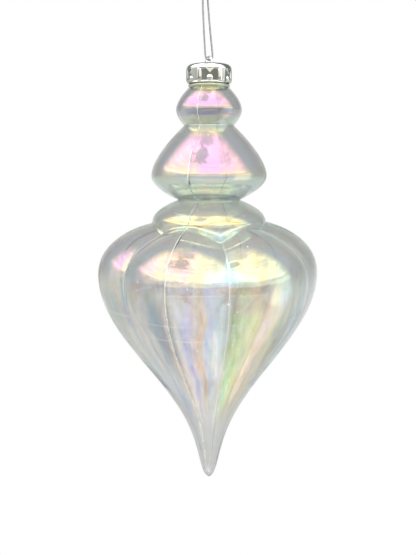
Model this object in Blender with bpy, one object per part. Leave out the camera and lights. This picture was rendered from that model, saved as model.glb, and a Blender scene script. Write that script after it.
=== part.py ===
"""Finial-shaped hanging ornament: clear shell halves, a neck ring, a plated crown cap and a thread loop.

Run with: blender --background --python part.py

Metres, +Z up, +X to the right of the front (-Y) side. The origin is the top of the hanging loop, just
under its knot, and everything else hangs below it on the Z axis. Depths called "drop" are measured
downwards from the top of the cap.
"""

import math

import bmesh
import bpy
from mathutils import Matrix, Vector

MM = 0.001
GAP = 0.3 * MM  # between the faces of pieces that touch

# Thread loop
THREAD_D = 0.9 * MM
LOOP_HEIGHT = 72.0 * MM  # from the loop's top down to the middle of the thread in the eyelet
THREAD_STEP = 2.1 * MM
LOOP_TURN = math.radians(-55.0)  # which way the loop's plane faces
# The thread's route in millimetres: across the loop, sideways bow, height above the eyelet's thread.
LOOP_ROUTE = (
    (-0.65, 0.00, 72.0),
    (-0.66, -0.15, 68.0),
    (-0.72, -0.80, 60.0),
    (-0.95, -1.60, 48.0),
    (-1.22, -1.90, 37.0),
    (-1.46, -1.70, 26.0),
    (-1.76, -1.05, 15.0),
    (-2.02, -0.35, 6.0),
    (-2.09, -0.12, 3.2),
    (-1.92, -0.03, 1.25),
    (-1.20, 0.00, 0.28),
    (0.00, 0.00, 0.00),
    (1.20, 0.00, 0.28),
    (1.92, -0.03, 1.25),
    (2.09, -0.12, 3.2),
    (2.02, -0.35, 6.0),
    (1.76, -1.05, 15.0),
    (1.46, -1.70, 26.0),
    (1.22, -1.90, 37.0),
    (0.95, -1.60, 48.0),
    (0.72, -0.80, 60.0),
    (0.66, -0.15, 68.0),
    (0.65, 0.00, 72.0),
)

# Knot
KNOT_R = 1.45 * MM
KNOT_HALF_HEIGHT = 1.8 * MM
TAIL_LENGTH = 3.4 * MM
TAIL_LEAN = math.radians(38.0)

# Crown cap
CAP_R = 10.8 * MM
CAP_SEGMENTS = 48
CAP_SHOULDER_R = 2.2 * MM
CAP_DOME = 0.25 * MM
CAP_BAND_DROP = 3.0 * MM
CAP_DROP = 9.0 * MM
CAP_PANEL_R = 10.25 * MM
CAP_BORE_R = 9.6 * MM
CAP_TOP_WALL = 1.3 * MM
PLUG_R = 7.05 * MM
PLUG_WALL = 1.0 * MM
PLUG_DROP = 6.4 * MM
CAP_REPEATS = 6
BEAD_AZIMUTH = math.radians(2.0)
BEAD_R = 1.45 * MM
BEAD_DROP = 7.1 * MM
RIB_HALF_WIDTH = 1.45 * MM
RIB_PROUD = 0.65 * MM
TAB_HALF_WIDTH = 1.9 * MM
TAB_HEIGHT = 1.9 * MM

# Eyelet, moulded on the cap
EYELET_WIRE_R = 0.62 * MM
EYELET_R = 2.35 * MM  # to the middle of the arch's section
EYELET_ABOVE_CAP = 3.9 * MM
EYELET_FOOT_R = 1.25 * MM
EYELET_FOOT_HEIGHT = 0.7 * MM
EYELET_PLAY = 0.25 * MM  # between the thread and the arch

# Shell of the finial
WALL = 1.2 * MM
SHELL_SEGMENTS = 36
NECK_TOP = 2.2 * MM
NECK_R = 8.6 * MM
COLLAR = ((8.6, 9.0), (9.9, 9.3), (10.1, 9.75), (9.95, 10.3), (9.6, 10.8))  # radius, drop in mm
BORE_R = NECK_R - WALL
MOUTH_FLARE = 0.6 * MM  # how much wider the bore is at the neck ring's lower end
UPPER_BULB = (15.95 * MM, 21.2 * MM)
UPPER_WAIST = (11.9 * MM, 28.3 * MM)
LOWER_BULB = (28.35 * MM, 52.0 * MM)
LOWER_WAIST = (14.9 * MM, 63.9 * MM)
DOME_RIM = (28.0 * MM, 74.2 * MM)
BODY = (55.2 * MM, 102.0 * MM)
TIP_DROP = 211.75 * MM
CAVITY_END = 207.0 * MM  # the tip is solid below this

# Lobes of the body
LOBES = 6
GROOVE_AZIMUTH = math.radians(10.0)
LOBE_TOP = 75.0 * MM  # where a lobe's crest leaves the dome
GROOVE_TOP = 79.3 * MM  # where a groove leaves it
GROOVE_DEPTH = 0.08
SEAM_AZIMUTH = math.radians(-20.0)

EYELET_THREAD_Z = -LOOP_HEIGHT
CAP_TOP_Z = EYELET_THREAD_Z + THREAD_D / 2 + EYELET_PLAY + 2 * EYELET_WIRE_R - EYELET_ABOVE_CAP


def clear_scene():
    for obj in list(bpy.data.objects):
        bpy.data.objects.remove(obj)


def new_collection(name):
    collection = bpy.data.collections.new(name)
    bpy.context.scene.collection.children.link(collection)
    return collection


def make_material(name, colour, roughness, metallic, transmission=0.0):
    material = bpy.data.materials.new(name)
    material.use_nodes = True
    shader = material.node_tree.nodes["Principled BSDF"]
    shader.inputs["Base Color"].default_value = (*colour, 1.0)
    shader.inputs["Roughness"].default_value = roughness
    shader.inputs["Metallic"].default_value = metallic
    shader.inputs["Transmission Weight"].default_value = transmission
    material.diffuse_color = (*colour, 1.0)
    return material


def add_object(name, mesh, collection, material=None):
    obj = bpy.data.objects.new(name, mesh)
    collection.objects.link(obj)
    if material is not None:
        mesh.materials.append(material)
        mesh.shade_smooth()
        mesh.set_sharp_from_angle(angle=math.radians(35.0))
    return obj


def add_helper(name, mesh, collection):
    obj = add_object(name, mesh, collection)
    obj.hide_render = True
    obj.display_type = "WIRE"
    return obj


def boolean(obj, other, operation):
    modifier = obj.modifiers.new(f"{operation.lower()}_{other.name}", "BOOLEAN")
    modifier.operation = operation
    modifier.object = other
    modifier.solver = "EXACT"


def at_azimuth(radius, azimuth, z=0.0):
    """A point at this distance from the Z axis, its azimuth turning from the front (-Y) towards +X."""
    return Vector((radius * math.sin(azimuth), -radius * math.cos(azimuth), z))


def mesh_from(bm, name):
    """The closed mesh, with its faces pointing out."""
    bmesh.ops.recalc_face_normals(bm, faces=bm.faces)
    if bm.calc_volume(signed=True) < 0:
        bmesh.ops.reverse_faces(bm, faces=bm.faces)
    mesh = bpy.data.meshes.new(name)
    bm.to_mesh(mesh)
    bm.free()
    return mesh


def smooth_route(points, step):
    """Points about one step apart along a Catmull-Rom curve through the given points."""
    padded = [2 * points[0] - points[1], *points, 2 * points[-1] - points[-2]]
    route = []
    for before, start, end, after in zip(padded, padded[1:], padded[2:], padded[3:]):
        count = max(1, round((end - start).length / step))
        for index in range(count):
            t = index / count
            linear = (end - before) * t
            square = (2 * before - 5 * start + 4 * end - after) * t**2
            cube = (3 * start - before - 3 * end + after) * t**3
            route.append(start + 0.5 * (linear + square + cube))
    route.append(points[-1])
    return route


def tube_curve(name, points, radius):
    data = bpy.data.curves.new(name, "CURVE")
    data.dimensions = "3D"
    data.bevel_depth = radius
    data.bevel_resolution = 2
    data.use_fill_caps = True
    spline = data.splines.new("POLY")
    spline.points.add(len(points) - 1)
    for target, point in zip(spline.points, points):
        target.co = (*point, 1.0)
    return data


def tube_mesh(name, points, radius):
    """The same tube as a closed mesh, for use in a Boolean."""
    helper = bpy.data.objects.new(name, tube_curve(name, points, radius))
    bpy.context.scene.collection.objects.link(helper)
    graph = bpy.context.evaluated_depsgraph_get()
    mesh = bpy.data.meshes.new_from_object(helper.evaluated_get(graph))
    bpy.data.objects.remove(helper)
    bm = bmesh.new()
    bm.from_mesh(mesh)
    bpy.data.meshes.remove(mesh)
    bmesh.ops.remove_doubles(bm, verts=bm.verts, dist=1e-6)
    return mesh_from(bm, name)


# Thread and knot


def loop_point(across, sideways, height):
    flat = at_azimuth(across * MM, LOOP_TURN)
    return flat + Vector((sideways * MM, 0.0, EYELET_THREAD_Z + height * MM))


def make_thread(parts):
    route = smooth_route([loop_point(*point) for point in LOOP_ROUTE], THREAD_STEP)
    data = tube_curve("thread_loop", route, THREAD_D / 2)
    data.materials.append(make_material("silver_thread", (0.72, 0.73, 0.75), 0.35, 0.9))
    parts.objects.link(bpy.data.objects.new("thread_loop", data))


def make_knot(parts, helpers):
    centre = Vector((0.0, 0.0, GAP + KNOT_HALF_HEIGHT))
    bm = bmesh.new()
    bmesh.ops.create_uvsphere(bm, u_segments=14, v_segments=8, radius=1.0)
    bmesh.ops.scale(bm, vec=(KNOT_R, KNOT_R, KNOT_HALF_HEIGHT), verts=bm.verts)
    bmesh.ops.translate(bm, vec=centre, verts=bm.verts)
    material = make_material("silver_thread_knot", (0.70, 0.71, 0.73), 0.4, 0.9)
    knot = add_object("thread_knot", mesh_from(bm, "thread_knot"), parts, material)
    for side in (-1, 1):
        lean = at_azimuth(side * math.sin(TAIL_LEAN), LOOP_TURN, math.cos(TAIL_LEAN))
        ends = [centre + lean * KNOT_R * 0.4, centre + lean * (KNOT_R + TAIL_LENGTH)]
        name = f"knot_tail_{'left' if side < 0 else 'right'}"
        tail = add_helper(name, tube_mesh(name, ends, THREAD_D / 2), helpers)
        boolean(knot, tail, "UNION")


# Crown cap


def cap_section():
    """Half of the cap's cross-section as (radius, drop), from the top of the axis round to its underside."""
    section = [(0.0, 0.0)]
    for step in range(7):
        turn = math.radians(15.0 * step)
        radius = CAP_R - CAP_SHOULDER_R * (1 - math.sin(turn))
        section.append((radius, CAP_DOME + CAP_SHOULDER_R * (1 - math.cos(turn))))
    section += [
        (CAP_R, CAP_BAND_DROP),
        (CAP_PANEL_R, CAP_BAND_DROP + 0.25 * MM),
        (CAP_PANEL_R, CAP_DROP),
        (CAP_BORE_R, CAP_DROP),
        (CAP_BORE_R, CAP_TOP_WALL),
        (PLUG_R, CAP_TOP_WALL),
        (PLUG_R, PLUG_DROP - 0.5 * MM),
        (PLUG_R - 0.4 * MM, PLUG_DROP),
        (PLUG_R - PLUG_WALL, PLUG_DROP),
        (PLUG_R - PLUG_WALL, CAP_TOP_WALL),
        (0.0, CAP_TOP_WALL),
    ]
    return section


def turned(name, section, segments, ring=False):
    """A closed solid turned from a section that starts and ends on the axis, or that closes on itself."""
    bm = bmesh.new()
    verts = [bm.verts.new((radius, 0.0, CAP_TOP_Z - drop)) for radius, drop in section]
    following = verts[1:] + verts[:1] if ring else verts[1:]
    edges = [bm.edges.new(pair) for pair in zip(verts, following)]
    bmesh.ops.spin(
        bm,
        geom=verts + edges,
        cent=(0.0, 0.0, 0.0),
        axis=(0.0, 0.0, 1.0),
        angle=2 * math.pi,
        steps=segments,
        use_merge=True,
    )
    bmesh.ops.remove_doubles(bm, verts=bm.verts, dist=1e-6)
    return mesh_from(bm, name)


def rib_mesh(name, azimuth):
    """A flat-backed pill that runs down the skirt from the band and ends in a half round."""
    top = CAP_BAND_DROP - 0.5 * MM
    bottom = CAP_DROP - 0.35 * MM - RIB_HALF_WIDTH
    bm = bmesh.new()
    bmesh.ops.create_cone(
        bm, cap_ends=True, segments=16, radius1=1.0, radius2=1.0, depth=bottom - top,
        matrix=Matrix.Translation((0.0, 0.0, -(top + bottom) / 2)),
    )
    ball = bmesh.new()
    bmesh.ops.create_uvsphere(ball, u_segments=16, v_segments=8, radius=1.0)
    bmesh.ops.scale(ball, vec=(1.0, 1.0, RIB_HALF_WIDTH), verts=ball.verts)
    bmesh.ops.translate(ball, vec=(0.0, 0.0, -bottom), verts=ball.verts)
    lower = [v for v in ball.verts if v.co.z > -bottom + 1e-9]
    bmesh.ops.delete(ball, geom=lower, context="VERTS")
    half = bpy.data.meshes.new("rib_end")
    ball.to_mesh(half)
    ball.free()
    flat_end = [face for face in bm.faces if face.calc_center_median().z < -bottom + 1e-9]
    bmesh.ops.delete(bm, geom=flat_end, context="FACES_ONLY")
    bm.from_mesh(half)
    bpy.data.meshes.remove(half)
    bmesh.ops.remove_doubles(bm, verts=bm.verts, dist=1e-6)
    bmesh.ops.scale(bm, vec=(RIB_HALF_WIDTH, RIB_PROUD, 1.0), verts=bm.verts)
    middle = at_azimuth(CAP_PANEL_R, azimuth, CAP_TOP_Z)
    place = Matrix.Translation(middle) @ Matrix.Rotation(azimuth, 4, "Z")
    bmesh.ops.transform(bm, matrix=place, verts=bm.verts)
    return mesh_from(bm, name)


def bead_mesh(name, azimuth):
    bm = bmesh.new()
    bmesh.ops.create_uvsphere(bm, u_segments=14, v_segments=8, radius=BEAD_R)
    bmesh.ops.scale(bm, vec=(1.0, 0.55, 1.0), verts=bm.verts)
    middle = at_azimuth(CAP_PANEL_R, azimuth, CAP_TOP_Z - BEAD_DROP)
    place = Matrix.Translation(middle) @ Matrix.Rotation(azimuth, 4, "Z")
    bmesh.ops.transform(bm, matrix=place, verts=bm.verts)
    return mesh_from(bm, name)


def tab_mesh(name, azimuth):
    """A triangular tab of the band that points down at a bead."""
    bm = bmesh.new()
    outline = ((-TAB_HALF_WIDTH, 0.0), (0.0, -TAB_HEIGHT), (TAB_HALF_WIDTH, 0.0))
    front = [bm.verts.new((x, -0.45 * MM, z)) for x, z in outline]
    face = bm.faces.new(front)
    grown = bmesh.ops.extrude_face_region(bm, geom=[face])["geom"]
    moved = [item for item in grown if isinstance(item, bmesh.types.BMVert)]
    bmesh.ops.translate(bm, vec=(0.0, 0.75 * MM, 0.0), verts=moved)
    middle = at_azimuth(CAP_PANEL_R, azimuth, CAP_TOP_Z - CAP_BAND_DROP + 0.1 * MM)
    place = Matrix.Translation(middle) @ Matrix.Rotation(azimuth, 4, "Z")
    bmesh.ops.transform(bm, matrix=place, verts=bm.verts)
    return mesh_from(bm, name)


def eyelet_route():
    """The arch: up one leg, over the half round and down the other, its feet sunk in the cap's top."""
    across = at_azimuth(1.0, LOOP_TURN + math.pi / 2)
    middle_z = CAP_TOP_Z + EYELET_ABOVE_CAP - EYELET_WIRE_R - EYELET_R
    foot = CAP_TOP_Z - 0.6 * MM
    route = [across * EYELET_R + Vector((0.0, 0.0, foot))]
    for step in range(13):
        turn = math.pi * step / 12
        up = Vector((0.0, 0.0, middle_z + EYELET_R * math.sin(turn)))
        route.append(across * EYELET_R * math.cos(turn) + up)
    route.append(across * -EYELET_R + Vector((0.0, 0.0, foot)))
    return route


def foot_mesh(name, side):
    bm = bmesh.new()
    bmesh.ops.create_cone(
        bm, cap_ends=True, segments=12, radius1=EYELET_FOOT_R, radius2=EYELET_WIRE_R * 1.02,
        depth=EYELET_FOOT_HEIGHT + 0.5 * MM,
    )
    across = at_azimuth(side * EYELET_R, LOOP_TURN + math.pi / 2)
    across.z = CAP_TOP_Z + (EYELET_FOOT_HEIGHT - 0.5 * MM) / 2
    bmesh.ops.translate(bm, vec=across, verts=bm.verts)
    return mesh_from(bm, name)


def make_cap(parts, helpers):
    material = make_material("plated_silver", (0.86, 0.86, 0.85), 0.08, 1.0)
    mesh = turned("crown_cap", cap_section(), CAP_SEGMENTS)
    cap = add_object("crown_cap", mesh, parts, material)
    pieces = [("eyelet_arch", tube_mesh("eyelet_arch", eyelet_route(), EYELET_WIRE_R))]
    pieces += [(f"eyelet_foot_{side + 1}", foot_mesh(f"eyelet_foot_{side + 1}", side)) for side in (-1, 1)]
    for index in range(CAP_REPEATS):
        azimuth = BEAD_AZIMUTH + index * 2 * math.pi / CAP_REPEATS
        between = azimuth + math.pi / CAP_REPEATS
        pieces.append((f"cap_tab_{index + 1}", tab_mesh(f"cap_tab_{index + 1}", azimuth)))
        pieces.append((f"cap_bead_{index + 1}", bead_mesh(f"cap_bead_{index + 1}", azimuth)))
        pieces.append((f"cap_rib_{index + 1}", rib_mesh(f"cap_rib_{index + 1}", between)))
    for name, piece in pieces:
        boolean(cap, add_helper(name, piece, helpers), "UNION")


# Shell of the finial


def groove(azimuth):
    """1 in a groove between two lobes and 0 on a crest, with a crease in the groove."""
    return 1 - abs(math.sin(LOBES / 2 * (azimuth - GROOVE_AZIMUTH)))


def swell(start, end, rows, power):
    """Rows from a narrow place to the widest one, steep first and then rounding over."""
    for index in range(1, rows + 1):
        t = index / rows
        share = 1 - (1 - t) ** power
        yield start[0] + (end[0] - start[0]) * share, start[1] + (end[1] - start[1]) * t


def tuck(start, end, rows, power):
    """Rows from the widest place down into a waist, rounding under."""
    for index in range(1, rows + 1):
        t = index / rows
        yield start[0] + (end[0] - start[0]) * t**power, start[1] + (end[1] - start[1]) * t


def lobe_top_rows(azimuth, rows):
    """Rows of the body from the dome out to its widest ring."""
    fluting = groove(azimuth)
    top = LOBE_TOP + (GROOVE_TOP - LOBE_TOP) * fluting
    widest = BODY[0] * (1 - GROOVE_DEPTH * fluting)
    for index in range(rows + 1):
        t = 1 - math.cos(math.pi / 2 * index / rows)
        share = (1 - (1 - t) ** 2.5) ** 0.75
        yield DOME_RIM[0] + (widest - DOME_RIM[0]) * share, top + (BODY[1] - top) * t


def tail_rows(azimuth, rows):
    """Rows from the widest ring down to the tip, full at first and then drawn out."""
    fluting = groove(azimuth)
    for index in range(1, rows + 1):
        u = 0.995 * math.sin(math.pi / 2 * index / rows) ** 1.15
        share = 0.768 * (1 - u**1.96) ** 3.36 + 0.232 * (1 - u) ** 0.42
        depth = GROOVE_DEPTH * (1 - u) ** 0.4
        yield BODY[0] * share * (1 - depth * fluting), BODY[1] + (TIP_DROP - BODY[1]) * u


def shell_rows(azimuth):
    """The outer profile at this azimuth, as (radius, drop) from the neck ring to the tip."""
    rows = [(COLLAR[-1][0] * MM, COLLAR[-1][1] * MM)]
    rows += swell(rows[-1], UPPER_BULB, 5, 1.75)
    rows += tuck(UPPER_BULB, UPPER_WAIST, 4, 1.55)
    rows += swell(UPPER_WAIST, LOWER_BULB, 8, 1.55)
    rows += tuck(LOWER_BULB, LOWER_WAIST, 6, 1.9)
    rows += swell(LOWER_WAIST, DOME_RIM, 5, 2.1)
    rows += lobe_top_rows(azimuth, 7)
    rows += tail_rows(azimuth, 15)
    return rows


def inset(rows, distance):
    """The rows moved inwards, square to the profile."""
    moved = []
    for before, row, after in zip(rows, rows[1:], rows[2:]):
        run = Vector((after[0] - before[0], after[1] - before[1])).normalized()
        moved.append((row[0] - run.y * distance, row[1] + run.x * distance))
    return moved


def cavity_rows(azimuth):
    rows = shell_rows(azimuth)
    inner = [row for row in inset(rows, WALL) if row[1] < CAVITY_END]
    mouth = BORE_R + MOUTH_FLARE
    return [(mouth, rows[0][1] - WALL), (mouth, rows[0][1]), *inner]


def loft(name, columns):
    """A closed solid from one profile per azimuth, with a flat lid and a closed lower end."""
    bm = bmesh.new()
    grid = []
    for index, column in enumerate(columns):
        azimuth = 2 * math.pi * index / len(columns)
        grid.append([bm.verts.new(at_azimuth(r, azimuth, CAP_TOP_Z - drop)) for r, drop in column])
    for left, right in zip(grid, grid[1:] + grid[:1]):
        for row in range(len(left) - 1):
            bm.faces.new((left[row], left[row + 1], right[row + 1], right[row]))
    bm.faces.new([column[0] for column in grid])
    bm.faces.new([column[-1] for column in reversed(grid)])
    return mesh_from(bm, name)


def half_space(name, side, helpers):
    """A block that takes away everything on one side of the seam, and half the gap."""
    size = 400 * MM
    bm = bmesh.new()
    bmesh.ops.create_cube(bm, size=size)
    bmesh.ops.translate(bm, vec=(side * (size - GAP) / 2, 0.0, -size / 2), verts=bm.verts)
    bmesh.ops.rotate(bm, matrix=Matrix.Rotation(SEAM_AZIMUTH, 3, "Z"), verts=bm.verts)
    return add_helper(name, mesh_from(bm, name), helpers)


def neck_section():
    """The neck ring's closed section as (radius, drop): down its outside and collar, and back up the bore."""
    outside = [(radius * MM, drop * MM) for radius, drop in COLLAR[:-1]]
    bottom = COLLAR[-1][1] * MM - GAP
    bore = [(BORE_R + MOUTH_FLARE, bottom), (BORE_R, outside[0][1]), (BORE_R, NECK_TOP)]
    return [(NECK_R, NECK_TOP), *outside, (COLLAR[-1][0] * MM, bottom), *bore]


def make_neck(parts):
    material = make_material("neck_plastic", (0.78, 0.82, 0.80), 0.06, 0.0, 0.85)
    mesh = turned("neck_ring", neck_section(), SHELL_SEGMENTS, ring=True)
    add_object("neck_ring", mesh, parts, material)


def make_shells(parts, helpers):
    azimuths = [2 * math.pi * index / SHELL_SEGMENTS for index in range(SHELL_SEGMENTS)]
    blank = [shell_rows(azimuth) for azimuth in azimuths]
    hollow = [cavity_rows(azimuth) for azimuth in azimuths]
    cavity = add_helper("finial_cavity", loft("finial_cavity", hollow), helpers)
    for name, side, shade in (("shell_half_right", -1, 0.80), ("shell_half_left", 1, 0.76)):
        colour = (shade, shade + 0.04, shade + 0.02)
        material = make_material(f"{name}_plastic", colour, 0.06, 0.0, 0.85)
        half = add_object(name, loft(name, blank), parts, material)
        boolean(half, cavity, "DIFFERENCE")
        boolean(half, half_space(f"cut_{name}", side, helpers), "DIFFERENCE")


def main():
    clear_scene()
    parts = new_collection("finial_hanging_ornament")
    helpers = new_collection("cutters_and_additions")
    helpers.hide_render = True
    make_thread(parts)
    make_knot(parts, helpers)
    make_cap(parts, helpers)
    make_neck(parts)
    make_shells(parts, helpers)


main()
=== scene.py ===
import math

import bmesh
import bpy
from mathutils import Matrix, Vector


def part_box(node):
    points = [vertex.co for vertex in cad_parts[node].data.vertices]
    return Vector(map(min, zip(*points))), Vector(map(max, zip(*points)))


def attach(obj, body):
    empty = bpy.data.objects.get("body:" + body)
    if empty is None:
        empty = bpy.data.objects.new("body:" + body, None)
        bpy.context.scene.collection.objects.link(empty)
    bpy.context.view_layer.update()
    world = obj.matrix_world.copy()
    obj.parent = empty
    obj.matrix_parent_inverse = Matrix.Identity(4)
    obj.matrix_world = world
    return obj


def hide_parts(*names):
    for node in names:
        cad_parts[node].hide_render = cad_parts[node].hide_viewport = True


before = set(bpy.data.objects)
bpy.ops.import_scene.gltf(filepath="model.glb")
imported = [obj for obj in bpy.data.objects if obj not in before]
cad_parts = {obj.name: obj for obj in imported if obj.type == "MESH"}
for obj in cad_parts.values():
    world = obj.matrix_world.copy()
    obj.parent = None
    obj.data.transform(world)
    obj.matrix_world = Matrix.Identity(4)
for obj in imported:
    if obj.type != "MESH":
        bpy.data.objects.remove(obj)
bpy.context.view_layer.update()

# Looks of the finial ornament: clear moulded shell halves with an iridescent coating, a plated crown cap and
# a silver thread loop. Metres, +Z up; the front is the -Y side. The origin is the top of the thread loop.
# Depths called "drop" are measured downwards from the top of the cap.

MM = 0.001

# Thread loop and knot
LOOP_HEIGHT = 72.0 * MM
LOOP_TURN = math.radians(-55.0)
# The thread's route in millimetres: across the loop, sideways bow, height above the eyelet's thread.
LOOP_ROUTE = (
    (-0.65, 0.00, 72.0),
    (-0.66, -0.15, 68.0),
    (-0.72, -0.80, 60.0),
    (-0.95, -1.60, 48.0),
    (-1.22, -1.90, 37.0),
    (-1.46, -1.70, 26.0),
    (-1.76, -1.05, 15.0),
    (-2.02, -0.35, 6.0),
    (-2.09, -0.12, 3.2),
    (-1.92, -0.03, 1.25),
    (-1.20, 0.00, 0.28),
    (0.00, 0.00, 0.00),
    (1.20, 0.00, 0.28),
    (1.92, -0.03, 1.25),
    (2.09, -0.12, 3.2),
    (2.02, -0.35, 6.0),
    (1.76, -1.05, 15.0),
    (1.46, -1.70, 26.0),
    (1.22, -1.90, 37.0),
    (0.95, -1.60, 48.0),
    (0.72, -0.80, 60.0),
    (0.66, -0.15, 68.0),
    (0.65, 0.00, 72.0),
)
PLY_COUNT = 3
PLY_R = 0.25 * MM
PLY_OFFSET = 0.2 * MM
PLY_PITCH = 2.6 * MM
KNOT_R = 1.45 * MM
KNOT_HALF_HEIGHT = 1.8 * MM
KNOT_Z = 2.1 * MM
TAIL_LENGTH = 3.4 * MM
TAIL_LEAN = math.radians(38.0)
KNOT_STEPS = 150

# Crown cap
CAP_SEGMENTS = 144
CAP_R = 10.8 * MM
CAP_SHOULDER_R = 2.2 * MM
CAP_DOME = 0.25 * MM
CAP_BAND_DROP = 3.0 * MM
BAND_EDGE_R = 0.2 * MM
CAP_DROP = 9.0 * MM
CAP_PANEL_R = 10.45 * MM  # under the band; the skirt draws in below it
CAP_SKIRT_R = 10.02 * MM
CAP_BORE_R = 9.6 * MM
CAP_TOP_WALL = 1.3 * MM
PLUG_R = 7.05 * MM
PLUG_WALL = 1.0 * MM
PLUG_DROP = 6.4 * MM
CAP_REPEATS = 6
CREASE_ANGLE = math.radians(40.0)
BEAD_AZIMUTH = math.radians(2.0)
BEAD_R = 1.45 * MM
BEAD_DROP = 7.1 * MM
BEAD_PROUD = 0.8 * MM
RIB_HALF_WIDTH = 1.45 * MM
RIB_PROUD = 0.75 * MM
RIB_LIFT = 0.35 * MM  # between a rib's lower end and the skirt's
RIB_OUT = 0.1 * MM
TAB_HALF_WIDTH = 1.9 * MM
TAB_HEIGHT = 2.0 * MM
TAB_ROOT = 0.4 * MM
TAB_PROUD = 0.28 * MM
TAB_DEPTH = 1.0 * MM
TAB_BEVEL = 0.1 * MM
EYELET_WIRE_R = 0.62 * MM
EYELET_R = 2.35 * MM
EYELET_FOOT_R = 1.25 * MM
EYELET_FOOT_HEIGHT = 0.7 * MM
EYELET_FOOT_SUNK = 0.4 * MM
EYELET_SUNK = 0.6 * MM
EYELET_ABOVE_CAP = 3.9 * MM
CAP_TOP_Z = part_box("crown_cap")[1].z - EYELET_ABOVE_CAP

# Shell
WALL = 1.2 * MM
NECK_TOP = 2.2 * MM
NECK_R = 8.6 * MM
BORE_R = NECK_R - WALL
MOUTH_R = BORE_R + 0.6 * MM  # the bore at the neck ring's lower end
NECK_GAP = 0.05 * MM
COLLAR = ((8.6, 9.0), (9.9, 9.3), (10.1, 9.75), (9.95, 10.3), (9.6, 10.8))  # radius, drop in mm
UPPER_BULB = (15.95 * MM, 21.2 * MM)
UPPER_WAIST = (11.9 * MM, 28.3 * MM)
LOWER_BULB = (28.35 * MM, 52.0 * MM)
LOWER_WAIST = (14.9 * MM, 63.9 * MM)
DOME_RIM = (28.0 * MM, 74.2 * MM)
BODY = (55.2 * MM, 102.0 * MM)
TIP_DROP = CAP_TOP_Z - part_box("shell_half_left")[0].z
LOBES = 6
GROOVE_AZIMUTH = math.radians(10.0)
GROOVE_ROUNDING = 0.05
LOBE_TOP = 75.0 * MM
GROOVE_TOP = 79.3 * MM
GROOVE_DEPTH = 0.08
SEAM_AZIMUTH = math.radians(-20.0)
SEAM_GAP = 0.05 * MM
COLUMN_STEP = math.radians(3.0)
WELD_HALF_WIDTH = 0.22 * MM
WELD_HEIGHT = 0.1 * MM
WELD_FULL_R = 8.0 * MM  # the weld narrows and flattens where the finial is slimmer than this
COATED_SLOT, INSIDE_SLOT, WELD_SLOT, BOND_SLOT = range(4)  # the material slots of a shell half
FILLET_PASSES = 4
NECK_SEGMENTS = 120

# Camera
CAMERA_DISTANCE = 317.0 * MM
CAMERA_DROP = 43.69 * MM  # the lens's height below the cap's top
CAMERA_PITCH = math.radians(-10.576)
CAMERA_ASIDE = -0.5 * MM
CAMERA_LENS = 41.5

# Floor
FLOOR_R = 900.0 * MM
FLOOR_BELOW_TIP = 160.0 * MM


def at_azimuth(radius, azimuth, z=0.0):
    """A point at this distance from the Z axis, its azimuth turning from the front (-Y) towards +X."""
    return Vector((radius * math.sin(azimuth), -radius * math.cos(azimuth), z))


def add_object(name, mesh, *materials):
    obj = bpy.data.objects.new(name, mesh)
    bpy.context.scene.collection.objects.link(obj)
    for material in materials:
        mesh.materials.append(material)
    return obj


# Camera


def make_camera():
    data = bpy.data.cameras.new("camera")
    data.lens = CAMERA_LENS
    data.clip_start = 0.01
    camera = bpy.data.objects.new("camera", data)
    bpy.context.scene.collection.objects.link(camera)
    camera.location = (CAMERA_ASIDE, -CAMERA_DISTANCE, CAP_TOP_Z - CAMERA_DROP)
    camera.rotation_euler = (math.pi / 2 + CAMERA_PITCH, 0.0, 0.0)
    bpy.context.scene.camera = camera


# Shader nodes


class Graph:
    """Adds nodes to one node tree. A socket's value is a number, a colour or another node's output."""

    def __init__(self, tree):
        self.tree = tree
        tree.nodes.clear()

    def node(self, kind, inputs=None, **settings):
        node = self.tree.nodes.new(kind)
        for key, value in settings.items():
            setattr(node, key, value)
        for key, value in (inputs or {}).items():
            self.feed(node.inputs[key], value)
        return node

    def feed(self, socket, value):
        if isinstance(value, bpy.types.NodeSocket):
            self.tree.links.new(value, socket)
        elif isinstance(value, tuple) and len(value) == 3 and socket.type == "RGBA":
            socket.default_value = (*value, 1.0)
        else:
            socket.default_value = value

    def math(self, operation, first, second=0.0, third=0.0):
        node = self.node("ShaderNodeMath", operation=operation)
        for socket, value in zip(node.inputs, (first, second, third)):
            self.feed(socket, value)
        return node.outputs[0]

    def step(self, value, low, high, start=0.0, end=1.0):
        """A smooth step of the value from low to high, scaled to run from start to end."""
        sockets = {"Value": value, "From Min": low, "From Max": high, "To Min": start, "To Max": end}
        return self.node("ShaderNodeMapRange", sockets, interpolation_type="SMOOTHSTEP").outputs[0]

    def window(self, value, start, full, fading, end):
        """1 between full and fading, falling smoothly to 0 at start and end."""
        return self.math("MULTIPLY", self.step(value, start, full), self.step(value, fading, end, 1.0, 0.0))

    def noise(self, vector, scale, detail=2.0, roughness=0.5):
        sockets = {"Vector": vector, "Scale": scale, "Detail": detail, "Roughness": roughness}
        return self.node("ShaderNodeTexNoise", sockets).outputs["Fac"]

    def grey(self, value):
        return self.node("ShaderNodeCombineColor", {0: value, 1: value, 2: value}).outputs[0]

    def mix(self, share, first, second, blend="MIX"):
        node = self.node("ShaderNodeMix", data_type="RGBA", blend_type=blend)
        for index, value in ((0, share), (6, first), (7, second)):
            self.feed(node.inputs[index], value)
        return node.outputs[2]

    def ramp(self, value, stops, smooth=True):
        node = self.node("ShaderNodeValToRGB", {"Fac": value})
        ramp = node.color_ramp
        ramp.interpolation = "EASE" if smooth else "LINEAR"
        while len(ramp.elements) < len(stops):
            ramp.elements.new(0.5)
        for element, (place, colour) in zip(ramp.elements, stops):
            element.position = place
            element.color = (*colour, 1.0)
        return node.outputs["Color"]

    def bump(self, height, distance, strength=1.0):
        sockets = {"Height": height, "Distance": distance, "Strength": strength}
        return self.node("ShaderNodeBump", sockets).outputs["Normal"]


def jittered(graph, value, noise, amount):
    """The value moved up and down by noise, over this amount in all."""
    return graph.math("MULTIPLY_ADD", noise, amount, graph.math("ADD", value, -amount / 2))


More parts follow.
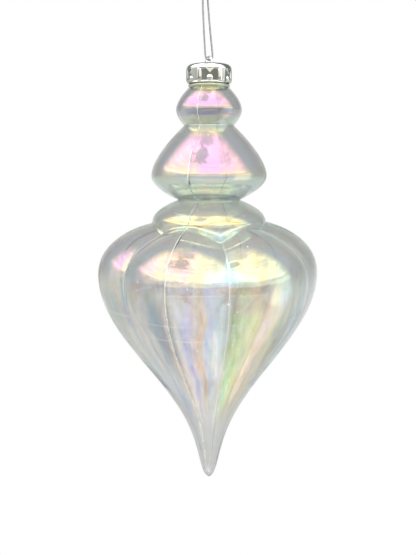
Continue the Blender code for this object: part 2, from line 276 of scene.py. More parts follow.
def new_material(name):
    material = bpy.data.materials.new(name)
    material.use_nodes = True
    return material, Graph(material.node_tree)


def finish_material(graph, inputs):
    shader = graph.node("ShaderNodeBsdfPrincipled", inputs)
    graph.node("ShaderNodeOutputMaterial", {"Surface": shader.outputs["BSDF"]})


# Materials


PLASTIC = (0.872, 0.880, 0.884)
NECK_PLASTIC = (0.78, 0.79, 0.76)
CLARITY = 0.94
NECK_CLARITY = 0.55
SHELL_IOR = 1.46
# A faint painted sheen: the coating's reflected colours laid into the plastic's colour, from its thickest to
# its thinnest.
PASTEL_RANGE = (270.0, 130.0)  # nanometres
PAINTED_SHEEN_PASTELS = (
    (0.00, (1.00, 0.78, 0.93)),
    (0.18, (1.00, 0.88, 0.80)),
    (0.34, (1.00, 0.97, 0.74)),
    (0.50, (0.84, 0.98, 0.82)),
    (0.66, (0.80, 0.95, 1.00)),
    (0.82, (0.86, 0.84, 1.00)),
    (1.00, (1.00, 0.78, 0.93)),
)
# The lower body's painted reflection streaks: tints by azimuth in degrees from the front, where the
# coating's iridescent reflections show.
PAINTED_STREAK_TINTS = (
    (-180, (0.95, 0.97, 1.00)), (-120, (1.00, 0.97, 0.92)), (-90, (0.95, 0.98, 0.95)),
    (-62, (0.98, 0.97, 0.97)), (-44, (0.92, 0.90, 0.98)), (-33, (0.84, 0.80, 0.98)),
    (-26, (0.97, 0.95, 0.95)), (-20, (1.00, 0.76, 0.60)), (-15, (0.99, 0.96, 0.94)),
    (-11, (0.66, 0.60, 0.96)), (-7, (0.92, 0.86, 0.90)), (-4, (1.00, 0.70, 0.46)),
    (0, (0.62, 0.72, 1.00)), (5, (0.94, 1.04, 1.06)), (9, (1.02, 1.06, 1.04)),
    (13, (0.70, 0.96, 0.58)), (17, (0.80, 1.00, 0.44)), (22, (1.02, 1.02, 0.50)),
    (29, (1.00, 0.80, 0.66)), (36, (1.00, 0.98, 0.62)), (48, (0.93, 0.98, 0.95)),
    (70, (0.96, 0.96, 0.98)), (110, (1.00, 0.97, 0.93)), (150, (0.93, 0.99, 0.97)),
    (180, (0.95, 0.97, 1.00)),
)
PAINTED_STREAK_DROPS = (150.0 * MM, 185.0 * MM)  # where the lower body's painted reflection streaks fade out towards the tip
# Painted reflections in wavy bands across the front of the upper bulb: a dark band and a grey band where
# dark things are reflected, and a painted gold highlight line between them; tint, strength and a window of
# drops in mm.
PAINTED_REFLECTION_BANDS = (
    ((0.50, 0.51, 0.58), 0.85, 20.7, 21.3, 23.2, 24.0),
    ((1.00, 0.93, 0.70), 0.80, 23.8, 24.1, 24.4, 24.8),
    ((0.62, 0.64, 0.64), 0.60, 24.8, 25.4, 26.4, 27.2),
)
# Brownish painted reflections of dark things on the body's front, below its highlight.
PAINTED_DARK_REFLECTION_DROPS = (95.0, 98.0, 103.0, 114.0)  # a window of drops in mm
PAINTED_DARK_REFLECTION_TINT = (0.60, 0.46, 0.38)
# A painted highlight line along the grooves' creases.
CREASE_PAINTED_HIGHLIGHT = (0.98, 0.98, 0.94)
PAINTED_RING_DROPS = (115.5 * MM, 122.8 * MM)  # faint painted reflection lines round the body
PAINTED_RING_TINT = (0.97, 0.98, 0.97)
WHITE = (1.0, 1.0, 1.0)
# The coating's thickness in nanometres at drops in millimetres.
COATING = (
    (0, 212), (11, 216), (14, 262), (17, 268), (19.6, 258), (20.8, 230), (22.0, 140), (23.4, 110),
    (24.6, 215), (28, 200), (31, 230), (35, 268), (45, 262), (49.5, 248), (51.5, 228), (54, 206),
    (63, 200), (67, 228), (73, 226), (77, 206), (80, 214), (83.5, 236), (91, 224), (98, 200),
    (106, 182), (125, 184), (145, 160), (160, 130), (175, 95), (190, 72), (212, 62),
)
COATING_RANGE = (220.0, 400.0)  # the curve's full drop in millimetres and full thickness in nanometres
COATING_STREAKS = 300.0  # nanometres between the thinnest and the thickest streak
COATING_CLOUDS = 60.0
COATING_LEFT = 40.0  # added towards the body's left side
COATING_GROOVE = -30.0
FILM_IOR = 2.05
INSIDE_FILM_IOR = 1.6


def shell_fields(graph):
    """Values over the shell that its materials share, as a dictionary of sockets."""
    place = graph.node("ShaderNodeTexCoord").outputs["Object"]
    split = graph.node("ShaderNodeSeparateXYZ", {"Vector": place}).outputs
    flat = graph.node("ShaderNodeCombineXYZ", {"X": split["X"], "Y": split["Y"]}).outputs[0]
    around = graph.node("ShaderNodeVectorMath", {0: flat}, operation="NORMALIZE").outputs[0]
    sideways = graph.node("ShaderNodeSeparateXYZ", {"Vector": around}).outputs["X"]
    low = graph.node("ShaderNodeVectorMath", {0: place, 1: (0.0, 0.0, 5.0)}, operation="MULTIPLY").outputs[0]
    streak = graph.node("ShaderNodeVectorMath", {0: around, 1: low}, operation="ADD").outputs[0]
    drop = graph.math("MULTIPLY_ADD", split["Z"], -1.0, CAP_TOP_Z)
    body = graph.step(drop, 0.062, 0.092)
    azimuth = graph.math("ARCTAN2", split["X"], graph.math("MULTIPLY", split["Y"], -1.0))
    turn = graph.math("MULTIPLY", graph.math("SUBTRACT", azimuth, GROOVE_AZIMUTH), LOBES / 2)
    crest = graph.math("ABSOLUTE", graph.math("SINE", turn))
    return {
        "place": place,
        "drop": drop,
        "body": body,
        "low": graph.step(drop, 0.085, 0.115),
        "sideways": sideways,
        "ahead": graph.step(graph.math("ABSOLUTE", sideways), 0.45, 0.85, 1.0, 0.0),
        "azimuth": azimuth,
        "fine_streaks": graph.noise(streak, 26.0, 3.0, 0.6),
        "in_groove": graph.math("MULTIPLY", graph.step(crest, 0.0, 0.30, 1.0, 0.0), body),
        "crease": graph.math("MULTIPLY", graph.step(crest, 0.0, 0.05, 1.0, 0.0), body),
        "streaks": graph.noise(streak, 3.4, 3.0, 0.6),
        "clouds": graph.noise(place, 16.0, 2.0),
        "speckle": graph.noise(place, 900.0, 2.0),
        "wave": graph.noise(place, 55.0, 2.0),
        "dark_reflection_noise": graph.noise(place, 85.0, 3.0, 0.6),
    }


def coating_thickness(graph, fields):
    """The coating varies down the finial, is thinner in the grooves and is streaked along the body."""
    full_drop, full_thickness = COATING_RANGE
    stops = [(drop / full_drop, (nanometres / full_thickness,) * 3) for drop, nanometres in COATING]
    share = graph.math("DIVIDE", fields["drop"], full_drop * MM)
    thickness = graph.math("MULTIPLY", graph.ramp(share, stops, smooth=False), full_thickness)
    streaks = graph.math("MULTIPLY_ADD", fields["streaks"], COATING_STREAKS, -COATING_STREAKS / 2)
    streaks = graph.math("MULTIPLY", streaks, graph.math("MULTIPLY_ADD", fields["low"], 0.8, 0.2))
    thickness = graph.math("ADD", thickness, streaks)
    thickness = jittered(graph, thickness, fields["clouds"], COATING_CLOUDS)
    left = graph.math("MULTIPLY", graph.step(fields["sideways"], -0.75, 0.05, 1.0, 0.0), fields["body"])
    thickness = graph.math("MULTIPLY_ADD", left, COATING_LEFT, thickness)
    return graph.math("MULTIPLY_ADD", fields["in_groove"], COATING_GROOVE, thickness)


def plastic_with_painted_sheen(graph, fields, thickness, plastic):
    """The plastic's colour with a faint painted sheen, the coating's reflected colours, which the lower body
    doesn't have.
    """
    thickest, thinnest = PASTEL_RANGE
    hue = graph.node("ShaderNodeMapRange", {"Value": thickness, "From Min": thickest, "From Max": thinnest})
    tinted = graph.mix(1.0, graph.ramp(hue.outputs[0], PAINTED_SHEEN_PASTELS, smooth=False), plastic, "MULTIPLY")
    return graph.mix(graph.math("MULTIPLY_ADD", fields["low"], -0.25, 0.25), plastic, tinted)


def with_painted_reflection_bands(graph, fields, colour):
    """The colour with painted reflections in wavy bands across the upper bulb's front: painted dark bands
    and a painted gold highlight line.
    """
    wavy = jittered(graph, fields["drop"], fields["wave"], 3.0 * MM)
    for tint, strength, *drops in PAINTED_REFLECTION_BANDS:
        band = graph.window(wavy, *(drop * MM for drop in drops))
        share = graph.math("MULTIPLY", graph.math("MULTIPLY", band, fields["ahead"]), strength)
        colour = graph.mix(share, colour, tint)
    return colour


def with_painted_reflection_streaks(graph, fields, colour):
    """The colour with the lower body's painted reflection streaks: upright tinted streaks, painted white
    highlight streaks and painted shade.
    """
    azimuth = jittered(graph, fields["azimuth"], fields["wave"], 0.16)
    turn = graph.math("MULTIPLY_ADD", azimuth, 0.5 / math.pi, 0.5)
    stops = [(degrees / 360 + 0.5, tint) for degrees, tint in PAINTED_STREAK_TINTS]
    painted_streaks = graph.mix(1.0, graph.ramp(turn, stops, smooth=False), PLASTIC, "MULTIPLY")
    fine = graph.step(fields["fine_streaks"], 0.38, 0.62)
    painted_streaks = graph.mix(graph.math("MULTIPLY", fine, 0.35), painted_streaks, WHITE)
    painted_streak_shade = graph.step(fields["streaks"], 0.35, 0.62, 0.80, 1.10)
    painted_streaks = graph.mix(1.0, painted_streaks, graph.grey(painted_streak_shade), "MULTIPLY")
    fading = graph.step(fields["drop"], *PAINTED_STREAK_DROPS, 1.0, 0.0)
    return graph.mix(graph.math("MULTIPLY", fields["low"], fading), colour, painted_streaks)


def with_painted_dark_reflections(graph, fields, colour):
    """The colour with brownish painted reflections of dark things on the body's front."""
    place = graph.window(fields["drop"], *(drop * MM for drop in PAINTED_DARK_REFLECTION_DROPS))
    share = graph.math("MULTIPLY", place, fields["ahead"])
    share = graph.math("MULTIPLY", share, graph.step(fields["dark_reflection_noise"], 0.46, 0.60, 0.0, 0.55))
    return graph.mix(share, colour, PAINTED_DARK_REFLECTION_TINT)


def with_painted_ring_reflections(graph, fields, colour):
    """The colour with broken pale lines round the body, painted reflections."""
    rings = 0.0
    for drop in PAINTED_RING_DROPS:
        away = graph.math("ABSOLUTE", graph.math("SUBTRACT", fields["drop"], drop))
        rings = graph.math("ADD", rings, graph.step(away, 0.12 * MM, 0.4 * MM, 1.0, 0.0))
    rings = graph.math("MULTIPLY", rings, graph.step(fields["wave"], 0.42, 0.58, 0.0, 0.7))
    return graph.mix(rings, colour, PAINTED_RING_TINT)


def painted_glint_mask(graph, fields):
    """1 in the few painted glints, small white specks in the plastic, and 0 elsewhere."""
    cells = graph.node("ShaderNodeTexVoronoi", {"Vector": fields["place"], "Scale": 230.0}).outputs
    chance = graph.node("ShaderNodeSeparateColor", {"Color": cells["Color"]}).outputs["Red"]
    dot = graph.step(cells["Distance"], 0.05, 0.10, 1.0, 0.0)
    return graph.math("MULTIPLY", dot, graph.step(chance, 0.74, 0.76))


def shell_material(name, coated, clarity=CLARITY, plastic=PLASTIC):
    material, graph = new_material(name)
    fields = shell_fields(graph)
    thickness = coating_thickness(graph, fields)
    colour = plastic_with_painted_sheen(graph, fields, thickness, plastic)
    colour = with_painted_reflection_bands(graph, fields, colour)
    colour = with_painted_reflection_streaks(graph, fields, colour)
    colour = with_painted_dark_reflections(graph, fields, colour)
    # Painted highlight along the grooves' creases: paler colour and less clarity there.
    colour = graph.mix(graph.math("MULTIPLY", fields["crease"], 0.6), colour, CREASE_PAINTED_HIGHLIGHT)
    colour = with_painted_ring_reflections(graph, fields, colour)
    painted_glints = painted_glint_mask(graph, fields)
    clear = graph.math("MULTIPLY_ADD", fields["crease"], -0.25, clarity)
    relief = graph.math("MULTIPLY_ADD", fields["speckle"], 0.03, fields["wave"])
    inputs = {
        # Painted glints: small white specks with less transmission.
        "Base Color": graph.mix(painted_glints, colour, WHITE),
        "Roughness": graph.step(fields["speckle"], 0.35, 0.8, 0.012, 0.05),
        "IOR": SHELL_IOR,
        "Transmission Weight": graph.math("MULTIPLY_ADD", painted_glints, -0.8, clear),
        "Normal": graph.bump(relief, 0.25 * MM),
        "Thin Film Thickness": thickness,
        "Thin Film IOR": FILM_IOR if coated else INSIDE_FILM_IOR,
    }
    if coated:
        inputs["Coat Weight"] = 0.25
        inputs["Coat Roughness"] = 0.02
    finish_material(graph, inputs)
    return material


def bond_material():
    """The bonded faces inside the seam, which light crosses unchanged."""
    material, graph = new_material("bonded_faces")
    finish_material(graph, {"Base Color": PLASTIC, "Alpha": 0.0})
    return material


def weld_and_highlight_material():
    # The weld's pale patchy colour: partly the weld's own and partly a painted highlight along the seam.
    material, graph = new_material("weld_line_and_painted_highlight")
    place = graph.node("ShaderNodeTexCoord").outputs["Object"]
    patchy = graph.noise(place, 220.0, 3.0)
    inputs = {
        "Base Color": graph.ramp(patchy, ((0.3, (0.76, 0.84, 0.77)), (0.7, (0.95, 0.99, 0.93)))),
        "Roughness": graph.step(patchy, 0.2, 0.8, 0.2, 0.35),
        "IOR": SHELL_IOR,
        "Transmission Weight": 0.5,
    }
    finish_material(graph, inputs)
    return material


def plated_material():
    material, graph = new_material("plated_silver")
    place = graph.node("ShaderNodeTexCoord").outputs["Object"]
    cloud = graph.noise(place, 160.0, 3.0)
    fine = graph.noise(place, 1800.0, 2.0)
    inputs = {
        "Base Color": graph.ramp(cloud, ((0.3, (0.80, 0.79, 0.73)), (0.7, (0.92, 0.92, 0.88)))),
        "Metallic": 1.0,
        "Roughness": graph.step(cloud, 0.3, 0.75, 0.04, 0.13),
        "Normal": graph.bump(fine, 0.01 * MM),
    }
    finish_material(graph, inputs)
    return material


def thread_material():
    material, graph = new_material("silver_thread")
    place = graph.node("ShaderNodeTexCoord").outputs["Object"]
    glint = graph.noise(place, 2600.0, 2.0)
    inputs = {
        "Base Color": graph.ramp(glint, ((0.3, (0.14, 0.145, 0.15)), (0.7, (0.52, 0.53, 0.54)))),
        "Metallic": 0.8,
        "Roughness": graph.step(glint, 0.2, 0.8, 0.22, 0.5),
    }
    finish_material(graph, inputs)
    return material


# Thread and knot


def smooth_route(points, step):
    """Points about one step apart along a Catmull-Rom curve through the given points."""
    padded = [2 * points[0] - points[1], *points, 2 * points[-1] - points[-2]]
    route = []
    for before, start, end, after in zip(padded, padded[1:], padded[2:], padded[3:]):
        count = max(1, round((end - start).length / step))
        for index in range(count):
            t = index / count
            linear = (end - before) * t
            square = (2 * before - 5 * start + 4 * end - after) * t**2
            cube = (3 * start - before - 3 * end + after) * t**3
            route.append(start + 0.5 * (linear + square + cube))
    route.append(points[-1])
    return route


def loop_point(across, sideways, height):
    flat = at_azimuth(across * MM, LOOP_TURN)
    return flat + Vector((sideways * MM, 0.0, (height * MM) - LOOP_HEIGHT))


def add_tube(bm, points, radius, sides=7):
    """A closed tube along the points, its section carried along without twisting."""
    rings = []
    normal = (points[1] - points[0]).orthogonal().normalized()
    for index, point in enumerate(points):
        ahead = points[min(index + 1, len(points) - 1)] - points[max(index - 1, 0)]
        ahead.normalize()
        normal = (normal - ahead * normal.dot(ahead)).normalized()
        side = ahead.cross(normal)
        ring = []
        for corner in range(sides):
            turn = 2 * math.pi * corner / sides
            ring.append(bm.verts.new(point + radius * (normal * math.cos(turn) + side * math.sin(turn))))
        rings.append(ring)
    for ring, following in zip(rings, rings[1:]):
        for corner in range(sides):
            after = (corner + 1) % sides
            bm.faces.new((ring[corner], ring[after], following[after], following[corner]))
    bm.faces.new(reversed(rings[0]))
    bm.faces.new(rings[-1])


def add_twisted(bm, route, phase=0.0):
    """The plies of the thread, twisted round the route."""
    plies = [[] for _ in range(PLY_COUNT)]
    normal = (route[1] - route[0]).orthogonal().normalized()
    travelled = 0.0
    for index, point in enumerate(route):
        ahead = route[min(index + 1, len(route) - 1)] - route[max(index - 1, 0)]
        ahead.normalize()
        normal = (normal - ahead * normal.dot(ahead)).normalized()
        side = ahead.cross(normal)
        if index:
            travelled += (point - route[index - 1]).length
        for number, ply in enumerate(plies):
            turn = phase + 2 * math.pi * (travelled / PLY_PITCH + number / PLY_COUNT)
            ply.append(point + PLY_OFFSET * (normal * math.cos(turn) + side * math.sin(turn)))
    for ply in plies:
        add_tube(bm, ply, PLY_R)


def mesh_from(bm, name):
    bmesh.ops.recalc_face_normals(bm, faces=bm.faces)
    mesh = bpy.data.meshes.new(name)
    bm.to_mesh(mesh)
    bm.free()
    mesh.shade_smooth()
    return mesh


def make_thread(material):
    route = smooth_route([loop_point(*point) for point in LOOP_ROUTE], 0.28 * MM)
    bm = bmesh.new()
    add_twisted(bm, route)
    thread = add_object("thread_loop_plies", mesh_from(bm, "thread_loop_plies"), material)
    return thread, route


def knot_point(turn):
    """A trefoil, the shape an overhand knot pulls into, squeezed into the knot's height."""
    radius = 0.52 + 0.32 * math.cos(3 * turn)
    flat = at_azimuth(KNOT_R * radius, 2 * turn + LOOP_TURN)
    return flat + Vector((0.0, 0.0, KNOT_Z + 0.62 * KNOT_HALF_HEIGHT * math.sin(3 * turn)))


def make_knot(material):
    bm = bmesh.new()
    add_twisted(bm, [knot_point(2 * math.pi * step / KNOT_STEPS) for step in range(KNOT_STEPS + 1)])
    centre = Vector((0.0, 0.0, KNOT_Z))
    for side in (-1, 1):
        start = at_azimuth(side * 0.65 * MM, LOOP_TURN, 0.02 * MM)
        add_twisted(bm, smooth_route([start, start * 0.9 + centre * 0.4, centre], 0.2 * MM), side)
        lean = at_azimuth(side * math.sin(TAIL_LEAN), LOOP_TURN, math.cos(TAIL_LEAN))
        bend = centre + lean * (KNOT_R + 0.45 * TAIL_LENGTH) + Vector((0.0, 0.0, 0.25 * MM))
        end = centre + lean * (KNOT_R + TAIL_LENGTH - PLY_OFFSET)
        add_twisted(bm, smooth_route([centre, bend, end], 0.2 * MM), side)
    return add_object("overhand_knot", mesh_from(bm, "overhand_knot"), material)


# Crown cap


def cap_section():
    """The cap's cross-section: over its top, down the band and skirt, and back inside with its plug."""
    section = [(0.0, 0.0), (4.0 * MM, 0.03 * MM)]
    for step in range(13):
        turn = math.pi / 2 * step / 12
        radius = CAP_R - CAP_SHOULDER_R * (1 - math.sin(turn))
        section.append((radius, CAP_DOME + CAP_SHOULDER_R * (1 - math.cos(turn))))
    for step in range(5):
        turn = math.pi / 2 * step / 4
        radius = CAP_R - BAND_EDGE_R * (1 - math.cos(turn))
        section.append((radius, CAP_BAND_DROP - BAND_EDGE_R * (1 - math.sin(turn))))
    section += [
        (CAP_PANEL_R + 0.05 * MM, CAP_BAND_DROP + 0.02 * MM),
        (CAP_PANEL_R, CAP_BAND_DROP + 0.12 * MM),
        (CAP_PANEL_R - 0.01 * MM, CAP_BAND_DROP + 0.25 * MM),
        (CAP_SKIRT_R + 0.01 * MM, CAP_DROP - 0.83 * MM),
        (CAP_SKIRT_R, CAP_DROP - 0.7 * MM),
        (CAP_SKIRT_R + 0.05 * MM, CAP_DROP - 0.55 * MM),
        (CAP_SKIRT_R + 0.2 * MM, CAP_DROP - 0.42 * MM),
        (CAP_SKIRT_R + 0.25 * MM, CAP_DROP - 0.25 * MM),
        (CAP_SKIRT_R + 0.18 * MM, CAP_DROP - 0.06 * MM),
        (CAP_SKIRT_R, CAP_DROP),
        (CAP_BORE_R + 0.1 * MM, CAP_DROP),
        (CAP_BORE_R, CAP_DROP - 0.1 * MM),
        (CAP_BORE_R, CAP_TOP_WALL),
        (PLUG_R, CAP_TOP_WALL),
        (PLUG_R, PLUG_DROP - 0.5 * MM),
        (PLUG_R - 0.4 * MM, PLUG_DROP),
        (PLUG_R - PLUG_WALL, PLUG_DROP),
        (PLUG_R - PLUG_WALL, CAP_TOP_WALL),
        (0.0, CAP_TOP_WALL),
    ]
    return section


def add_placed(bm, piece, radius, azimuth, drop):
    """Moves a piece made at the origin, its front towards -Y, onto the cap's side."""
    place = Matrix.Translation(at_azimuth(radius, azimuth, CAP_TOP_Z - drop))
    bmesh.ops.transform(piece, matrix=place @ Matrix.Rotation(azimuth, 4, "Z"), verts=piece.verts)
    bmesh.ops.recalc_face_normals(piece, faces=piece.faces)
    mesh = bpy.data.meshes.new("cap_detail")
    piece.to_mesh(mesh)
    piece.free()
    bm.from_mesh(mesh)
    bpy.data.meshes.remove(mesh)


def add_ball(bm, azimuth, drop, length, width, proud, radius):
    """A rounded bead, or a long pill where it has a length, half sunk in the cap's side."""
    piece = bmesh.new()
    bmesh.ops.create_uvsphere(piece, u_segments=28, v_segments=18, radius=1.0)
    for vert in piece.verts:
        stretch = length / 2 if vert.co.z > 0 else -length / 2
        vert.co = Vector((vert.co.x * width, vert.co.y * proud, vert.co.z * width + stretch))
    add_placed(bm, piece, radius, azimuth, drop)


def add_tab(bm, azimuth):
    """A triangular tab that hangs from the band and points down at a bead, its edges bevelled."""
    piece = bmesh.new()
    half, root = TAB_HALF_WIDTH, TAB_ROOT
    outline = ((-half, root), (-half, 0.0), (0.0, -TAB_HEIGHT), (half, 0.0), (half, root))
    front = [piece.verts.new((x, -TAB_PROUD, z)) for x, z in outline]
    grown = bmesh.ops.extrude_face_region(piece, geom=[piece.faces.new(front)])["geom"]
    moved = [item for item in grown if isinstance(item, bmesh.types.BMVert)]
    bmesh.ops.translate(piece, vec=(0.0, TAB_DEPTH, 0.0), verts=moved)
    bmesh.ops.bevel(piece, geom=piece.edges[:], offset=TAB_BEVEL, segments=1, affect="EDGES")
    add_placed(bm, piece, CAP_PANEL_R, azimuth, CAP_BAND_DROP)


def eyelet_route():
    """The arch: up one leg, over the half round and down the other, its feet sunk in the cap's top."""
    across = at_azimuth(1.0, LOOP_TURN + math.pi / 2)
    middle_z = CAP_TOP_Z + EYELET_ABOVE_CAP - EYELET_WIRE_R - EYELET_R
    foot = Vector((0.0, 0.0, CAP_TOP_Z - EYELET_SUNK))
    route = [across * EYELET_R + foot]
    for step in range(33):
        turn = math.pi * step / 32
        rise = Vector((0.0, 0.0, middle_z + EYELET_R * math.sin(turn)))
        route.append(across * EYELET_R * math.cos(turn) + rise)
    route.append(across * -EYELET_R + foot)
    return route


def add_eyelet_foot(bm, azimuth):
    """A flared foot where one leg of the eyelet meets the cap's top."""
    middle = at_azimuth(EYELET_R, azimuth)
    flare = [(0.0, EYELET_FOOT_SUNK), (EYELET_FOOT_R, EYELET_FOOT_SUNK)]
    for step in range(9):
        turn = math.pi / 2 * step / 8
        radius = EYELET_FOOT_R - (EYELET_FOOT_R - EYELET_WIRE_R) * math.sin(turn)
        flare.append((radius, -EYELET_FOOT_HEIGHT * (1 - math.cos(turn))))
    add_turned(bm, [*flare, (0.0, -EYELET_FOOT_HEIGHT)], 28, (middle.x, middle.y))


def mark_creases(mesh):
    """Keeps sharp edges from being shaded smooth."""
    bm = bmesh.new()
    bm.from_mesh(mesh)
    for edge in bm.edges:
        edge.smooth = edge.calc_face_angle(0.0) < CREASE_ANGLE
    bm.to_mesh(mesh)
    bm.free()


def make_cap():
    bm = bmesh.new()
    add_turned(bm, cap_section(), CAP_SEGMENTS)
    add_tube(bm, eyelet_route(), EYELET_WIRE_R, 20)
    for side in (-1, 1):
        add_eyelet_foot(bm, LOOP_TURN + side * math.pi / 2)
    rib_bottom = CAP_DROP - RIB_LIFT - RIB_HALF_WIDTH
    rib_middle = (CAP_BAND_DROP + rib_bottom) / 2
    rib_length = rib_bottom - CAP_BAND_DROP
    for index in range(CAP_REPEATS):
        azimuth = BEAD_AZIMUTH + index * 2 * math.pi / CAP_REPEATS
        between = azimuth + math.pi / CAP_REPEATS
        add_tab(bm, azimuth)
        add_ball(bm, azimuth, BEAD_DROP, 0.0, BEAD_R, BEAD_PROUD, CAP_SKIRT_R)
        add_ball(bm, between, rib_middle, rib_length, RIB_HALF_WIDTH, RIB_PROUD, CAP_SKIRT_R + RIB_OUT)
    cap = add_object("crown_cap_plated", mesh_from(bm, "crown_cap_plated"), plated_material())
    mark_creases(cap.data)
    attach(cap, "cap")
    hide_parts("crown_cap")


# Shell halves


def groove(azimuth):
    """1 in a groove between two lobes and 0 on a crest, with a rounded crease in the groove."""
    share = math.sin(LOBES / 2 * (azimuth - GROOVE_AZIMUTH))
    return (1 - math.hypot(share, GROOVE_ROUNDING)) / (1 - GROOVE_ROUNDING)


def swell(start, end, rows, power):
    """Rows of a surface that bulges out from start to end, each a (radius, drop)."""
    for index in range(1, rows + 1):
        t = 1 - math.sin(math.pi / 2 * (1 - index / rows))
        share = 1 - (1 - t) ** power
        yield start[0] + (end[0] - start[0]) * share, start[1] + (end[1] - start[1]) * t


def tuck(start, end, rows, power):
    """Rows of a surface that draws in from start to end."""
    for index in range(1, rows + 1):
        t = math.sin(math.pi / 2 * index / rows)
        yield start[0] + (end[0] - start[0]) * t**power, start[1] + (end[1] - start[1]) * t


def lobe_top_rows(azimuth, rows):
    """Rows over the top of the body, from the dome's rim to where the body is widest."""
    fluting = groove(azimuth)
    top = LOBE_TOP + (GROOVE_TOP - LOBE_TOP) * fluting
    widest = BODY[0] * (1 - GROOVE_DEPTH * fluting)
    for index in range(1, rows + 1):
        t = (index / rows) ** 1.7
        share = (1 - (1 - t) ** 2.5) ** 0.75
        yield DOME_RIM[0] + (widest - DOME_RIM[0]) * share, top + (BODY[1] - top) * t


def tail_rows(azimuth, rows):
    """Rows from where the body is widest down to the tip, its grooves fading on the way."""
    fluting = groove(azimuth)
    for index in range(1, rows + 1):
        u = 1 - (1 - index / rows) ** 1.25
        share = 0.768 * (1 - u**1.96) ** 3.36 + 0.232 * (1 - u) ** 0.42
        depth = GROOVE_DEPTH * (1 - u) ** 0.4
        yield BODY[0] * share * (1 - depth * fluting), BODY[1] + (TIP_DROP - BODY[1]) * u


def filleted(rows):
    """The rows with their inner corners eased, the ends kept."""
    for _ in range(FILLET_PASSES):
        eased = [
            tuple((a + 2 * b + c) / 4 for a, b, c in zip(before, row, after))
            for before, row, after in zip(rows, rows[1:], rows[2:])
        ]
        rows = [rows[0], *eased, rows[-1]]
    return rows


def shell_rows(azimuth):
    """The outer profile at this azimuth as (radius, drop), from under the neck ring to the tip."""
    top = (COLLAR[-1][0] * MM, COLLAR[-1][1] * MM)
    rows = [top, *swell(top, UPPER_BULB, 16, 1.75)]
    rows += tuck(UPPER_BULB, UPPER_WAIST, 13, 1.55)
    rows += swell(UPPER_WAIST, LOWER_BULB, 26, 1.55)
    rows += tuck(LOWER_BULB, LOWER_WAIST, 20, 1.9)
    rows += swell(LOWER_WAIST, DOME_RIM, 16, 2.1)
    fluting = groove(azimuth)
    skirt_end = LOBE_TOP + (GROOVE_TOP - LOBE_TOP) * fluting
    for index in range(1, 5):
        rows.append((DOME_RIM[0], DOME_RIM[1] + (skirt_end - DOME_RIM[1]) * index / 4))
    rows += lobe_top_rows(azimuth, 26)
    rows += tail_rows(azimuth, 52)
    return filleted(rows)


def inset(rows, distance):
    """The rows moved inwards, square to the profile, without the first and the last."""
    moved = []
    for before, row, after in zip(rows, rows[1:], rows[2:]):
        run = Vector((after[0] - before[0], after[1] - before[1])).normalized()
        moved.append((row[0] - run.y * distance, row[1] + run.x * distance))
    return moved


def cavity_rows(rows):
    """The inner profile, a wall's thickness inside the outer one, from the neck ring's bore to the pit."""
    inner = [row for row in inset(rows, WALL) if row[1] > rows[0][1] + 0.3 * MM and row[0] > 0.25 * MM]
    return [(MOUTH_R, rows[0][1]), *inner, (0.0, inner[-1][1] + 0.1 * MM)]


def column_angles():
    """Azimuths across one half, from the seam: even steps, with closer ones at each groove."""
    count = round(math.pi / COLUMN_STEP)
    angles = [index * COLUMN_STEP for index in range(1, count)]
    for index in range(count):
        for extra in (-1.6, -0.75, 0.75, 1.6):
            angle = index * COLUMN_STEP + math.radians(extra)
            from_groove = SEAM_AZIMUTH + index * COLUMN_STEP - GROOVE_AZIMUTH
            if abs(math.sin(LOBES / 2 * from_groove)) < 1e-6:
                angles.append(angle)
    return sorted(angles)


def weld_columns():
    """Distances from the seam across the weld, as (distance, height of the ridge)."""
    for index in range(5):
        share = index / 4
        yield share * WELD_HALF_WIDTH, WELD_HEIGHT * (1 + math.cos(math.pi * share)) / 2


def column_points(rows, azimuth, distance, height):
    """The rows' points at this azimuth, moved along the surface by a distance and raised by a height."""
    points = []
    for radius, drop in rows:
        room = min(1.0, radius / WELD_FULL_R)
        turn = distance * room / radius if radius > 1e-9 else 0.0
        points.append(at_azimuth(radius + height * room, azimuth + turn, CAP_TOP_Z - drop))
    return points


def half_columns(start):
    """Each column's outer and inner points, from seam to seam, and whether it is on the weld's ridge."""
    weld = list(weld_columns())
    places = [(0.0, distance, height) for distance, height in weld]
    places += [(angle, 0.0, 0.0) for angle in column_angles()]
    places += [(math.pi, -distance, height) for distance, height in reversed(weld)]
    columns = []
    for angle, distance, height in places:
        rows = shell_rows(start + angle)
        outer = column_points(rows, start + angle, distance, height)
        inner = column_points(cavity_rows(rows), start + angle, distance, 0.0)
        columns.append((outer, inner, height > 0.0))
    return columns


def surface_faces(bm, grid, welded, flip, material_index):
    """Faces between neighbouring columns; those on the outer weld have the weld's material."""
    for column, (left, right) in enumerate(zip(grid, grid[1:])):
        weld = welded[column] or welded[column + 1]
        for row in range(len(left) - 1):
            corners = [left[row], left[row + 1], right[row + 1], right[row]]
            corners = [v for index, v in enumerate(corners) if v not in corners[:index]]
            if len(corners) < 3:
                continue
            face = bm.faces.new(reversed(corners) if flip else corners)
            face.smooth = True
            face.material_index = WELD_SLOT if weld and not flip else material_index


